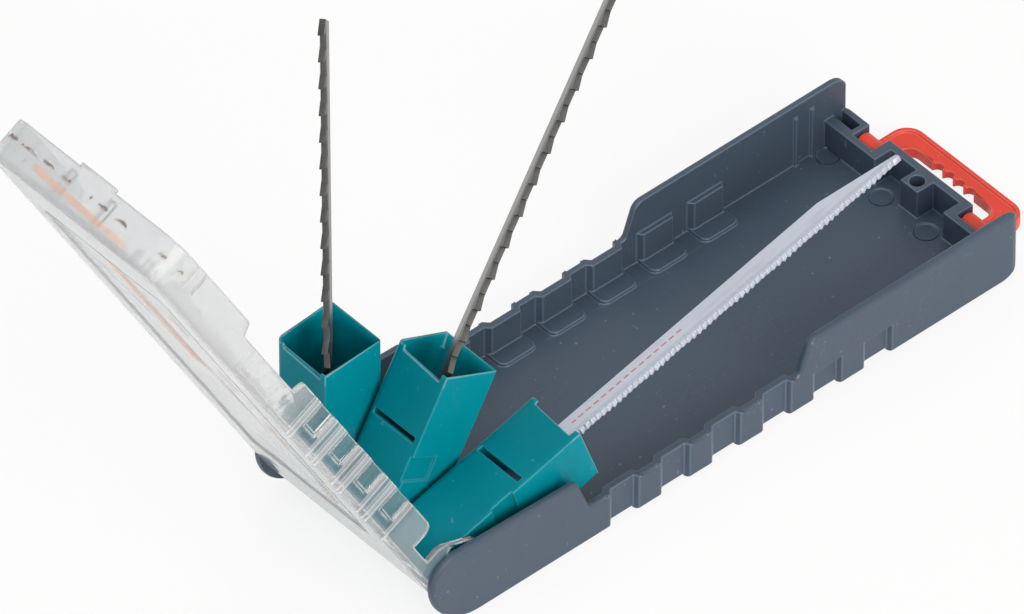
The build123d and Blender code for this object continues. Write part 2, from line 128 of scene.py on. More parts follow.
class BladeCaseColours(PropertyGroup):
    """Colours of the case's plastics and steels."""

    tray: FloatVectorProperty(
        name="Tray", description="Blue-grey moulded plastic",
        default=(0.056, 0.083, 0.12), subtype="COLOR")
    pocket: FloatVectorProperty(
        name="Pockets", description="Teal moulded plastic",
        default=(0.0, 0.228, 0.284), subtype="COLOR")
    handle: FloatVectorProperty(
        name="Handle", description="Orange-red moulded plastic",
        default=(0.78, 0.062, 0.032), subtype="COLOR")
    lid: FloatVectorProperty(
        name="Lid", description="Clear plastic",
        default=(0.87, 0.88, 0.885), subtype="COLOR")
    steel: FloatVectorProperty(
        name="Bright steel", description="Bright sheet steel",
        default=(0.57, 0.61, 0.7), subtype="COLOR")
    dark_steel: FloatVectorProperty(
        name="Dark steel", description="Dull sheet steel",
        default=(0.2, 0.2, 0.195), subtype="COLOR")
    stripe: FloatVectorProperty(
        name="Stripe", description="Peach stripe of the label",
        default=(0.9, 0.42, 0.22), subtype="COLOR")
    floor: FloatVectorProperty(
        name="Floor", description="Pale floor under the case",
        default=(0.93, 0.93, 0.93), subtype="COLOR")


class BladeCaseStage(PropertyGroup):
    """Camera, floor and lights."""

    azimuth: FloatProperty(
        name="Azimuth", description="Direction that the camera looks from",
        default=math.radians(-41.5), subtype="ANGLE")
    elevation: FloatProperty(
        name="Elevation", description="How high the camera looks down from",
        default=math.radians(44.13), subtype="ANGLE")
    distance: FloatProperty(
        name="Distance", description="From the camera to the point it looks at",
        default=4.4, unit="LENGTH")
    view_width: FloatProperty(
        name="View width", description="Width of the picture at that point",
        default=169.1 * MM, unit="LENGTH")
    target: FloatVectorProperty(
        name="Target", description="The point the camera looks at",
        default=(-8.5 * MM, 22.0 * MM, 7.0 * MM), unit="LENGTH")
    floor_white: FloatProperty(
        name="Floor white", description="How far the floor is lifted to plain white",
        default=0.84, subtype="FACTOR")
    sky: FloatProperty(
        name="Sky", description="Strength of the even light from all round",
        default=0.52)
    key: FloatProperty(
        name="Key lamp", description="Power of the large lamp overhead, in watts",
        default=2.9)
    side: FloatProperty(
        name="Side lamp", description="Power of the lamp on the front wall, in watts",
        default=6.9)


class BladeCaseSettings(PropertyGroup):
    """All that a user would change."""

    sizes: PointerProperty(type=BladeCaseSizes)
    colours: PointerProperty(type=BladeCaseColours)
    stage: PointerProperty(type=BladeCaseStage)


def settings():
    """The sizes, colours and stage that the user has set."""
    return bpy.context.scene.blade_case


# ---------------------------------------------------------------- finishes

class Wire:
    """One output of a shader node, which Python's operators work on."""

    def __init__(self, finish, socket):
        self.finish = finish
        self.socket = socket

    def maths(self, operation, first, second):
        """An operation on two numbers, each of them a wire or plain."""
        return self.finish.node("ShaderNodeMath", {"operation": operation},
                                {0: first, 1: second})

    def __add__(self, other):
        return self.maths("ADD", self, other)

    def __radd__(self, other):
        return self.maths("ADD", other, self)

    def __sub__(self, other):
        return self.maths("SUBTRACT", self, other)

    def __rsub__(self, other):
        return self.maths("SUBTRACT", other, self)

    def __mul__(self, other):
        return self.maths("MULTIPLY", self, other)

    def __mod__(self, other):
        return self.maths("FLOORED_MODULO", self, other)

    def __lt__(self, other):
        return self.maths("LESS_THAN", self, other)

    def __gt__(self, other):
        return self.maths("GREATER_THAN", self, other)


def opaque(colour):
    """A colour as a socket takes it, or a wire as it is."""
    return colour if isinstance(colour, Wire) else (*colour[:3], 1.0)


def shade(colour, amount):
    """A colour made lighter or darker by a share."""
    return tuple(channel * amount for channel in colour)


def paler(colour, keep, lift):
    """A colour that keeps a share of itself and is lifted by an even amount."""
    return tuple(keep * channel + lift for channel in colour)


def between(value, low, high):
    """1 between two values and 0 outside them."""
    return (value > low) * (value < high)


class Finish:
    """A material or a world, and the nodes that make it."""

    def __init__(self, name, kind="materials"):
        self.made = getattr(bpy.data, kind).new(name)
        self.made.use_nodes = True
        self.tree = self.made.node_tree
        self.tree.nodes.clear()

    def node(self, kind, choices, inputs, output=0):
        """A node of a kind, its settings made first and then its inputs filled."""
        made = self.tree.nodes.new(kind)
        for name, value in choices.items():
            setattr(made, name, value)
        for name, value in inputs.items():
            if isinstance(value, Wire):
                self.tree.links.new(value.socket, made.inputs[name])
            else:
                made.inputs[name].default_value = value
        return Wire(self, made.outputs[output]) if made.outputs else None

    def place(self, stretch=(1, 1, 1)):
        """A point's place in the frame, stretched along the axes."""
        where = self.node("ShaderNodeTexCoord", {}, {}, output="Object")
        return self.node("ShaderNodeMapping", {}, {"Vector": where, "Scale": stretch})

    def shut_place(self):
        """A point's place from the lid's hinge along, across and up, as if the lid were shut."""
        where = self.node("ShaderNodeTexCoord", {}, {}, output="Object")
        shut = self.node("ShaderNodeMapping", {"vector_type": "TEXTURE"}, {
            "Vector": where, "Location": LID_HINGE, "Rotation": (0.0, -LID_ANGLE, 0.0)})
        return self.parts(shut)

    def blade_place(self, stretch=(1, 1, 1)):
        """A point's place along and across a blade, in millimetres."""
        where = self.node("ShaderNodeUVMap", {"uv_map": "along"}, {})
        return self.node("ShaderNodeMapping", {}, {"Vector": where, "Scale": stretch})

    def parts(self, place):
        """The three numbers of a place."""
        return [self.node("ShaderNodeSeparateXYZ", {}, {"Vector": place}, output=axis)
                for axis in "XYZ"]

    def noise(self, place, size, detail=2.0):
        """Even noise whose lumps are of a size, in the unit of the place."""
        return self.node("ShaderNodeTexNoise", {},
                         {"Vector": place, "Scale": 1.0 / size, "Detail": detail})

    def scratches(self, stretch, size, share):
        """Thin lines where stretched noise crosses its middle value."""
        noise = self.noise(self.place(stretch), size, detail=3.0)
        return self.range(self.size(noise - MIDDLE_LEVEL), share, 0.0)

    def size(self, value):
        """A number without its sign."""
        return self.node("ShaderNodeMath", {"operation": "ABSOLUTE"}, {0: value})

    def range(self, value, low, high, first=0.0, last=1.0):
        """A smooth step from first to last, as a value goes from low to high."""
        return self.node("ShaderNodeMapRange", {"interpolation_type": "SMOOTHSTEP"},
                         {"Value": value, "From Min": low, "From Max": high,
                          "To Min": first, "To Max": last})

    def tint(self, amount, first, second):
        """A colour between two others."""
        factor, colour_a, colour_b, result = 0, 6, 7, 2
        return self.node("ShaderNodeMix", {"data_type": "RGBA"}, {
            factor: amount, colour_a: opaque(first), colour_b: opaque(second)}, output=result)

    def bump(self, height, depth, strength=1.0):
        """A normal that follows a height of 0 to 1 over a depth in metres."""
        return self.node("ShaderNodeBump", {},
                         {"Height": height, "Distance": depth, "Strength": strength})

    def principled(self, colour, roughness, inputs):
        """A Principled shader with a few more inputs set."""
        return self.node("ShaderNodeBsdfPrincipled", {}, {
            "Base Color": opaque(colour), "Roughness": roughness, **inputs})

    def mix(self, amount, first, second):
        """Two shaders mixed."""
        return self.node("ShaderNodeMixShader", {}, {0: amount, 1: first, 2: second})

    def finish_with(self, shader, kind="Material"):
        """The material or the world that shows a shader."""
        self.node("ShaderNodeOutput" + kind, {}, {"Surface": shader})
        return self.made

    def seen_ray(self):
        """1 for the rays that show a backdrop directly, in a gloss or through a clear piece."""
        path = self.node("ShaderNodeLightPath", {}, {})
        names = ("Is Camera Ray", "Is Glossy Ray", "Is Transmission Ray")
        camera, gloss, through = [
            Wire(self, path.socket.node.outputs[name]) for name in names]
        return path.maths("MINIMUM", camera + gloss + through, 1.0)


# Marks on the surfaces. A size is in metres, a level is a value of a noise, which lies
# between 0 and 1, a stretch says how much faster a noise changes along each axis, and
# shades are the darkest and the lightest share of a colour.
MIDDLE_LEVEL = 0.5
USUAL_LEVELS = (0.3, 0.7)
CLOUD_SIZE, CLOUD_SHADES = 9 * MM, (0.93, 1.07)
GRIT_SIZE = 0.16 * MM
WORN_SIZE, WORN_LEVELS = 16 * MM, (0.5, 0.72)
DUST_SIZE, DUST_LEVELS, DUST_COLOUR = 0.9 * MM, (0.8, 0.86), (0.55, 0.57, 0.6)
LONG_SCRATCHES = {"stretch": (1.0, 7.0, 1.0), "size": 7 * MM, "share": 0.004}
CROSS_SCRATCHES = {"stretch": (5.0, 0.6, 2.0), "size": 6 * MM, "share": 0.003}
LID_SCRATCHES = {"stretch": (1.0, 4.0, 3.0), "size": 8 * MM, "share": 0.004}
SCRATCH_COLOUR = (0.5, 0.52, 0.54)
GRIT_HEIGHT, CLOUD_HEIGHT, SCRATCH_HEIGHT = 0.6, 0.4, 0.5
SMOOTHER, ROUGHER, SCRATCH_ROUGHNESS = 0.04, 0.06, 0.1
PLASTIC_IOR = 1.5
GLOW_DEPTH = 2.6 * MM
# Where the painted highlight on the pockets' mouths begins and where it is whole, from the rod.
MOUTH_HIGHLIGHT_REACH = (27.3 * MM, 28.2 * MM)


def moulded_plastic(name, colour, grain, roughness, scuff, specular, glow=0.0, mouth_highlight=None):
    """Injection-moulded plastic: faint mottling, fine grain, hair scratches and specks.

    Grain is the depth of the surface's roughness, scuff how much the wear shows, glow how
    much light a thin wall lets through, and the last a paler colour far from the hinge rod,
    which is a painted highlight along the pockets' mouths.
    """
    finish = Finish(name)
    place = finish.place()
    cloud = finish.noise(place, CLOUD_SIZE, detail=3.0)
    grit = finish.noise(place, GRIT_SIZE, detail=1.0)
    worn = finish.range(finish.noise(place, WORN_SIZE), *WORN_LEVELS)
    marks = (finish.scratches(**LONG_SCRATCHES) + finish.scratches(**CROSS_SCRATCHES)) * worn
    dust = finish.range(finish.noise(place, DUST_SIZE, detail=0.0), *DUST_LEVELS)
    base = finish.tint(cloud, *[shade(colour, share) for share in CLOUD_SHADES])
    # A paler colour far from the rod: a painted highlight along the pockets' mouths.
    if mouth_highlight:
        base = finish.tint(finish.range(rod_reach(finish), *MOUTH_HIGHLIGHT_REACH), base, mouth_highlight)
    base = finish.tint(marks * scuff, base, SCRATCH_COLOUR)
    base = finish.tint(dust * scuff, base, DUST_COLOUR)
    rough = finish.range(cloud, *USUAL_LEVELS, roughness - SMOOTHER, roughness + ROUGHER)
    height = grit * GRIT_HEIGHT + cloud * CLOUD_HEIGHT - marks * SCRATCH_HEIGHT
    return finish.finish_with(finish.principled(base, rough + marks * SCRATCH_ROUGHNESS, {
        "Normal": finish.bump(height, grain), "IOR": PLASTIC_IOR,
        "Specular IOR Level": specular, "Subsurface Weight": glow,
        "Subsurface Radius": (1.0, 1.0, 1.0), "Subsurface Scale": GLOW_DEPTH}))


def rod_reach(finish):
    """How far a point is from the rod that the pockets turn on."""
    side, _, up = finish.parts(finish.place())
    return finish.node("ShaderNodeMath", {"operation": "SQRT"}, {
        0: (side - ROD_ALONG) * (side - ROD_ALONG) + (up - ROD_HEIGHT) * (up - ROD_HEIGHT)})


# Marks on the clear lid. A place is along from its hinge, across from its middle or above
# its hinge, as if it were shut. A pair of places is where a mark has ended and where it is
# whole. Glint lines, painted highlights of milky white, lie to both sides of a window's
# middle, and the milky white between the windows is painted light.
CLEAR_IOR = 1.42
CLEAR_CLOUD_SIZE, CLEAR_SHADE, CLEAR_ROUGHNESS = 20 * MM, 0.97, (0.03, 0.08)
FLOW_SIZE, FLOW_STRETCH = 7 * MM, (1.0, 1.0, 1.6)
FLOW_DEPTH, FLOW_STRENGTH = 0.16 * MM, 0.6
LINE_HEIGHT, LINE_ROUGHNESS = 0.05, 0.12
MILK_COLOUR, MILK_THROUGH = (0.8, 0.825, 0.84), 0.5
FLECK_COLOUR, STRIPE_AND_FLECK_ROUGHNESS = (0.05, 0.05, 0.06), 0.5
END_START = 116.6 * MM
STRIPE_HEIGHT, STRIPE_SLANT = 2.6 * MM, 0.05
STRIPE_HALF_HEIGHT = (0.75 * MM, 0.45 * MM)
STRIPE_MIDDLE, STRIPE_HALF_LENGTH = -0.9 * MM, (12.4 * MM, 11.0 * MM)
STRIPE_LEVELS, STRIPE_SHARES = (0.3, 0.6), (0.22, 0.5)
THREAD_SIZE, THREAD_STRETCH = 2.6 * MM, (0.4, 1.0, 1.0)
FLECK_HEIGHT, FLECK_STRAY, FLECK_LEVELS = 0.7 * MM, 3 * MM, (0.53, 0.6)
FLECK_HALF_HEIGHT = (0.5 * MM, 0.1 * MM)
STRIPE_INK, FLECK_SHARE = 0.7, 0.6
WINDOW_START, WINDOW_PITCH = 25.7 * MM, 11.2 * MM
WINDOW_SPAN = (WINDOW_START - WINDOW_PITCH / 2, WINDOW_START + 3.6 * WINDOW_PITCH)
WINDOW_RIB = (3.0 * MM, 3.3 * MM)
WINDOW_TOP = (3.6 * MM, 2.9 * MM)
WINDOW_SHARE, RIB_SHARE = 0.9, 0.5
SKIRT_START = 18.5 * MM
GLINTS = (-3.6 * MM, 4.0 * MM, 5.3 * MM)
GLINT_HALF_WIDTH, GLINT_SHARE = (0.5 * MM, 0.2 * MM), 0.5
FAR_HAZE_PLACES, FAR_HAZE = (50.0 * MM, 112.0 * MM), 0.15


def end_marks(finish, along, across, height):
    """How much of a stripe and of dark flecks shows through the lid's end wall."""
    end = along > END_START
    rise = finish.size(height - STRIPE_HEIGHT + across * STRIPE_SLANT)
    length = finish.range(finish.size(across - STRIPE_MIDDLE), *STRIPE_HALF_LENGTH)
    thread = finish.noise(finish.place(THREAD_STRETCH), THREAD_SIZE)
    stripe = end * length * finish.range(rise, *STRIPE_HALF_HEIGHT)
    stripe = stripe * finish.range(thread, *STRIPE_LEVELS, *STRIPE_SHARES)
    stray = finish.size(height - FLECK_HEIGHT + (thread - MIDDLE_LEVEL) * FLECK_STRAY)
    flecks = end * finish.range(stray, *FLECK_HALF_HEIGHT) * finish.range(thread, *FLECK_LEVELS)
    return stripe, flecks


def skirt_windows(finish, along, across, height):
    """How clear the windows of the lid's skirt are, and where painted glint lines lie on their
    ribs.
    """
    step = (along - WINDOW_START + WINDOW_PITCH / 2) % WINDOW_PITCH - WINDOW_PITCH / 2
    rib = finish.range(finish.size(step), *WINDOW_RIB)
    painted_glints = 0.0
    for middle in GLINTS:
        painted_glints = painted_glints + finish.range(finish.size(step - middle), *GLINT_HALF_WIDTH)
    skirt = between(along, *WINDOW_SPAN) * (finish.size(across) > SKIRT_START)
    windows = skirt * (1.0 - rib * RIB_SHARE) * finish.range(height, *WINDOW_TOP)
    return windows, skirt * painted_glints


def clear_plastic(name, colour, stripe_colour, haze_and_highlight):
    """Clear polystyrene with a milky haze, thicker between its skirt's windows as painted light.
    """
    finish = Finish(name)
    flow = finish.noise(finish.place(FLOW_STRETCH), FLOW_SIZE, detail=1.5)
    lines = finish.scratches(**LID_SCRATCHES)
    cloud = finish.noise(finish.place(), CLEAR_CLOUD_SIZE)
    base = finish.tint(cloud, shade(colour, CLEAR_SHADE), colour)
    rough = finish.range(cloud, *USUAL_LEVELS, *CLEAR_ROUGHNESS) + lines * LINE_ROUGHNESS
    clear = finish.principled(base, rough, {
        "Normal": finish.bump(flow - lines * LINE_HEIGHT, FLOW_DEPTH, FLOW_STRENGTH),
        "IOR": CLEAR_IOR, "Transmission Weight": 1.0})
    milk = finish.mix(MILK_THROUGH, *[
        finish.node("ShaderNodeBsdf" + kind, {}, {"Color": opaque(MILK_COLOUR)})
        for kind in ("Diffuse", "Translucent")])
    along, across, height = finish.shut_place()
    stripe, flecks = end_marks(finish, along, across, height)
    # One shader for the printed stripe and for the dark flecks.
    ink = finish.principled(finish.tint(flecks, stripe_colour, FLECK_COLOUR), STRIPE_AND_FLECK_ROUGHNESS, {})
    windows, painted_glints = skirt_windows(finish, along, across, height)
    haze_and_highlight = haze_and_highlight + finish.range(along, *FAR_HAZE_PLACES, 0.0, FAR_HAZE)
    # Clearer in the windows, milkier on the ribs and along the glint lines: painted highlights.
    haze_and_highlight = haze_and_highlight * (1.0 - windows * WINDOW_SHARE) + painted_glints * GLINT_SHARE
    printed = stripe.maths("MAXIMUM", stripe * STRIPE_INK, flecks * FLECK_SHARE)
    return finish.finish_with(finish.mix(printed, finish.mix(haze_and_highlight, clear, milk), ink))


# Marks on the blades, along and across them in millimetres, and those on the rod.
ROLLED_STRETCH, ROLLED_SHADES, ROLLED_LEVELS = (0.05, 4.0, 1.0), (0.86, 1.1), (0.2, 0.8)
GROUND_STRETCH, GROUND_SHADES = (5.0, 0.3, 1.0), (0.82, 1.15)
BLOTCH_STRETCH, BLOTCH_LEVELS = (0.16, 0.4, 1.0), (0.5, 0.75)
BLOTCH_SHADE, BLOTCH_SHARE = 0.7, 0.4
SHEET_ROUGHNESS, TEETH_ROUGHNESS = (0.3, 0.42), 0.06
SHEET_DEPTH, SHEET_STRENGTH = 0.02 * MM, 0.7
BAND_BLUR = 0.15
BRIGHT_TOOTH_SHADE, DARK_TOOTH_SHADE, DARK_BAND_SHARE = 0.88, 0.42, 1.7
DASH_COLOUR, DASH_SHARE = (0.6, 0.1, 0.05), 0.8
DASH_ALONG, DASH_ACROSS = (24.0, 49.0), (3.9, 4.6)
DASH_PITCH, DASH_LENGTH = 1.7, 1.1
BLADE_METAL = 0.75
ROD_LINE_SIZE, ROD_LINE_STRETCH, ROD_LINE_DEPTH = 0.5 * MM, (0.3, 6.0, 0.3), 0.01 * MM
ROD_SHADE, ROD_ROUGHNESS = 0.85, (0.22, 0.34)


def blade_steel(name, colour, tooth_colour, band, printed):
    """Rolled sheet with grinding lines, brighter or darker along its teeth."""
    finish = Finish(name)
    along, across, _ = finish.parts(finish.blade_place())
    rolled = finish.noise(finish.blade_place(ROLLED_STRETCH), 1.0, detail=3.0)
    ground = finish.noise(finish.blade_place(GROUND_STRETCH), 1.0)
    blotch = finish.noise(finish.blade_place(BLOTCH_STRETCH), 1.0)
    teeth = finish.range(across, band + BAND_BLUR, band - BAND_BLUR)
    base = finish.tint(rolled, *[shade(colour, share) for share in ROLLED_SHADES])
    base = finish.tint(finish.range(blotch, *BLOTCH_LEVELS) * BLOTCH_SHARE, base,
                       shade(colour, BLOTCH_SHADE))
    base = finish.tint(teeth, base, finish.tint(
        ground, *[shade(tooth_colour, share) for share in GROUND_SHADES]))
    if printed:
        dashes = (along % DASH_PITCH < DASH_LENGTH) * between(along, *DASH_ALONG)
        dashes = dashes * between(across, *DASH_ACROSS)
        base = finish.tint(dashes * DASH_SHARE, base, DASH_COLOUR)
    rough = finish.range(rolled, *ROLLED_LEVELS, *SHEET_ROUGHNESS) + teeth * TEETH_ROUGHNESS
    height = rolled * (1.0 - teeth) + ground * teeth
    return finish.finish_with(finish.principled(base, rough, {
        "Normal": finish.bump(height, SHEET_DEPTH, SHEET_STRENGTH), "Metallic": BLADE_METAL}))


def turned_steel(name, colour):
    """Drawn steel rod with fine lines round it."""
    finish = Finish(name)
    lines = finish.noise(finish.place(ROD_LINE_STRETCH), ROD_LINE_SIZE)
    base = finish.tint(lines, shade(colour, ROD_SHADE), colour)
    rough = finish.range(lines, *USUAL_LEVELS, *ROD_ROUGHNESS)
    return finish.finish_with(finish.principled(base, rough, {
        "Metallic": 1.0, "Normal": finish.bump(lines, ROD_LINE_DEPTH)}))


# The label, along from the lid's hinge and across from its middle.
BLOCK_START, BLOCK_ACROSS = 66.0 * MM, (-3.0 * MM, 1.5 * MM)
BAR_PITCH, BAR_LENGTH, BAR_ACROSS = 22.0 * MM, 9.0 * MM, (-10.0 * MM, -8.5 * MM)
SPECK_SIZE, SPECK_LEVELS, SPECK_SHARES = 0.4 * MM, (0.2, 0.4), (0.75, 1.0)
FILM_COLOUR, FILM_ROUGHNESS = (0.95, 0.95, 0.95), (0.2, 0.3)
FILM_ALPHA, INK_ALPHA = 0.04, 0.3


def label_print(name, colour):
    """A clear film with a plain printed block and bars."""
    finish = Finish(name)
    along, across, _ = finish.shut_place()
    block = (along > BLOCK_START) * between(across, *BLOCK_ACROSS)
    bars = (along % BAR_PITCH < BAR_LENGTH) * between(across, *BAR_ACROSS)
    speck = finish.noise(finish.place(), SPECK_SIZE, detail=1.0)
    ink = (block + bars) * finish.range(speck, *SPECK_LEVELS, *SPECK_SHARES)
    rough = finish.range(speck, *USUAL_LEVELS, *FILM_ROUGHNESS)
    return finish.finish_with(finish.principled(finish.tint(ink, FILM_COLOUR, colour), rough, {
        "Alpha": FILM_ALPHA + ink * INK_ALPHA}))


# ---------------------------------------------------------------- making

def make_active(piece):
    """Leave only this piece selected."""
    bpy.ops.object.select_all(action="DESELECT")
    bpy.context.view_layer.objects.active = piece
    piece.select_set(True)


def set_materials(mesh, *materials):
    """Give a mesh these materials and no others."""
    mesh.materials.clear()
    for material in materials:
        mesh.materials.append(material)


def merged_copy(node, name, *materials):
    """A copy of a node with its loose triangles joined along flat faces."""
    piece = bpy.data.objects.new(name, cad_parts[node].data.copy())
    piece.data.name = name
    set_materials(piece.data, *materials)
    bpy.context.collection.objects.link(piece)
    make_active(piece)
    bpy.ops.object.mode_set(mode="EDIT")
    bpy.ops.mesh.select_all(action="SELECT")
    bpy.ops.mesh.customdata_custom_splitnormals_clear()
    bpy.ops.mesh.remove_doubles(threshold=SAME_POINT)
    bpy.ops.mesh.dissolve_limited(angle_limit=FLAT_ANGLE)
    bpy.ops.mesh.select_all(action="SELECT")
    bpy.ops.mesh.remove_doubles(threshold=CLOSE_POINTS)
    bpy.ops.mesh.quads_convert_to_tris()
    bpy.ops.object.mode_set(mode="OBJECT")
    return piece


def round_edges(piece, width, segments=2, sharp=MOULDED_ANGLE):
    """Round every edge that turns more than an angle, and shade it smooth.

    The rounding takes the piece's last material and stays in the box of the square shape.
    """
    make_active(piece)
    mesh = piece.data
    square = BVHTree.FromPolygons([v.co for v in mesh.vertices],
                                  [tuple(face.vertices) for face in mesh.polygons])
    low, high = [[pick(v.co[k] for v in mesh.vertices) for k in range(3)] for pick in (min, max)]
    corners = KDTree(len(mesh.vertices))
    for vertex in mesh.vertices:
        corners.insert(vertex.co, vertex.index)
    corners.balance()
    bevel = piece.modifiers.new("Rounding", "BEVEL")
    bevel.width = width
    bevel.segments = segments
    bevel.limit_method = "ANGLE"
    bevel.angle_limit = sharp
    bevel.use_clamp_overlap = False
    bevel.loop_slide = False
    bevel.material = len(mesh.materials) - 1
    bpy.ops.object.modifier_apply(modifier=bevel.name)
    pull_back(mesh, square, corners, STRAY_SHARE * width)
    for vertex in mesh.vertices:
        vertex.co = [min(max(c, a), b) for c, a, b in zip(vertex.co, low, high)]
    bpy.ops.object.shade_smooth_by_angle(angle=SMOOTH_ANGLE)
    weighted = piece.modifiers.new("Flat faces", "WEIGHTED_NORMAL")
    weighted.keep_sharp = True
    weighted.weight = FLAT_FACE_WEIGHT
    bpy.ops.object.modifier_apply(modifier=weighted.name)


def pull_back(mesh, square, corners, reach):
    """Put points that a rounding threw off the square shape back on its own corners."""
    points = mesh.vertices
    links = {}
    for a, b in mesh.edge_keys:
        links.setdefault(a, []).append(b)
        links.setdefault(b, []).append(a)
    thrown = {v.index for v in points if square.find_nearest(v.co)[3] > reach}
    for _ in range(STRAY_ROUNDS):
        for i in sorted(thrown):
            here = points[i].co
            sound = [points[k].co for k in links[i] if k not in thrown] or [here]
            nearest = min(sound, key=lambda co: (co - here).length)
            points[i].co = corners.find(nearest)[0]
        thrown = set()
        for a, b in mesh.edge_keys:
            middle = (points[a].co + points[b].co) / 2
            if square.find_nearest(middle)[3] > reach:
                thrown.update((a, b))


def settle(piece, node, body):
    """Finish a piece that stands for a node."""
    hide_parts(node)
    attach(piece, body)


class BLADECASE_OT_stage(Operator):
    """Add the floor, the lamps and the camera"""

    bl_idname = "blade_case.stage"
    bl_label = "Stage"

    def execute(self, context):
        scene = context.scene
        scene.view_settings.view_transform = "Standard"
        stage = settings().stage
        self.add_floor(settings().colours.floor, stage.floor_white)
        self.light_sky(scene, stage.sky)
        self.add_lamp("Key", KEY_PLACE, KEY_SIZE, stage.key, KEY_COLOUR)
        self.add_lamp("Side", SIDE_PLACE, SIDE_SIZE, stage.side, SIDE_COLOUR)
        self.add_camera(scene, stage)
        return {"FINISHED"}

    def add_floor(self, colour, floor_white):
        """A sheet of paper under the case, lifted towards plain white where it is seen."""
        bpy.ops.mesh.primitive_plane_add(size=FLOOR_SIZE, location=(0, 0, -FLOOR_DROP))
        floor = bpy.context.object
        floor.name = "floor"
        finish = Finish("floor_paper")
        fibre = finish.noise(finish.place(), FIBRE_SIZE, detail=4.0)
        base = finish.tint(fibre, *[shade(colour, share) for share in FIBRE_SHADES])
        paper = finish.principled(base, 1.0, {"Specular IOR Level": 0.0})
        white = finish.node("ShaderNodeEmission", {}, {"Strength": 1.0})
        floor.data.materials.append(finish.finish_with(
            finish.mix(finish.seen_ray() * floor_white, paper, white)))

    def light_sky(self, scene, strength):
        """Even light from all round, which is plain white where it is seen."""
        finish = Finish("studio", "worlds")
        level = finish.range(finish.seen_ray(), 0.0, 1.0, strength, 1.0)
        sky = finish.node("ShaderNodeBackground", {}, {
            "Color": (1.0, 1.0, 1.0, 1.0), "Strength": level})
        scene.world = finish.finish_with(sky, "World")

    def add_lamp(self, name, place, size, power, colour):
        """A square lamp that faces the case."""
        bpy.ops.object.light_add(type="AREA", location=place)
        lamp = bpy.context.object
        lamp.name = name
        lamp.data.size = size
        lamp.data.energy = power
        lamp.data.color = colour
        lamp.rotation_euler = Vector(place).to_track_quat("Z", "Y").to_euler()

    def add_camera(self, scene, stage):
        """A camera whose lens makes the view as wide as asked."""
        flat = math.cos(stage.elevation)
        back = Vector((math.sin(stage.azimuth) * flat, -math.cos(stage.azimuth) * flat,
                       math.sin(stage.elevation)))
        bpy.ops.object.camera_add(location=Vector(stage.target) + back * stage.distance)
        camera = bpy.context.object
        camera.rotation_euler = back.to_track_quat("Z", "Y").to_euler()
        camera.data.lens = camera.data.sensor_width * stage.distance / stage.view_width
        camera.data.clip_end = CLIP_DISTANCES * stage.distance
        camera.data.dof.use_dof = False
        scene.camera = camera


class BLADECASE_OT_tray(Operator):
    """Make the grey tray"""

    bl_idname = "blade_case.tray"
    bl_label = "Tray"

    def execute(self, context):
        colour = settings().colours.tray
        plastic = moulded_plastic("grey_plastic", colour, grain=0.03 * MM, roughness=0.4,
                                  scuff=0.16, specular=0.35)
        # Its rounded edges take a lighter blue-grey, a painted highlight along the tray's edges.
        edge = moulded_plastic("grey_edge_highlight", shade(colour, TRAY_EDGE_HIGHLIGHT), grain=0.02 * MM,
                               roughness=0.32, scuff=0.1, specular=0.5)
        tray = merged_copy("base_tray", "tray_shell", plastic, edge)
        round_edges(tray, settings().sizes.tray_edge)
        settle(tray, "base_tray", "tray")
        return {"FINISHED"}


class BLADECASE_OT_rod(Operator):
    """Finish the steel hinge rod"""

    bl_idname = "blade_case.rod"
    bl_label = "Hinge rod"

    def execute(self, context):
        set_materials(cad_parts["hinge_rod"].data,
                      turned_steel("rod_steel", settings().colours.steel))
        return {"FINISHED"}


class BLADECASE_OT_pockets(Operator):
    """Make the swinging teal pockets"""

    bl_idname = "blade_case.pockets"
    bl_label = "Pockets"

    def execute(self, context):
        colour = settings().colours.pocket
        plastic = moulded_plastic("teal_plastic", colour, grain=0.02 * MM, roughness=0.32,
                                  scuff=0.12, specular=0.08, glow=0.7)
        # The rounded edges take a paler teal, paler still at the mouths: painted highlights.
        edge = moulded_plastic("teal_edge_highlight", paler(colour, keep=0.96, lift=0.015),
                               grain=0.01 * MM, roughness=0.3, scuff=0.1, specular=0.3,
                               mouth_highlight=paler(colour, keep=0.8, lift=0.12))
        for node in POCKET_NODES:
            pocket = merged_copy(node, node + "_shell", plastic, edge)
            round_edges(pocket, settings().sizes.pocket_edge)
            settle(pocket, node, node)
        return {"FINISHED"}


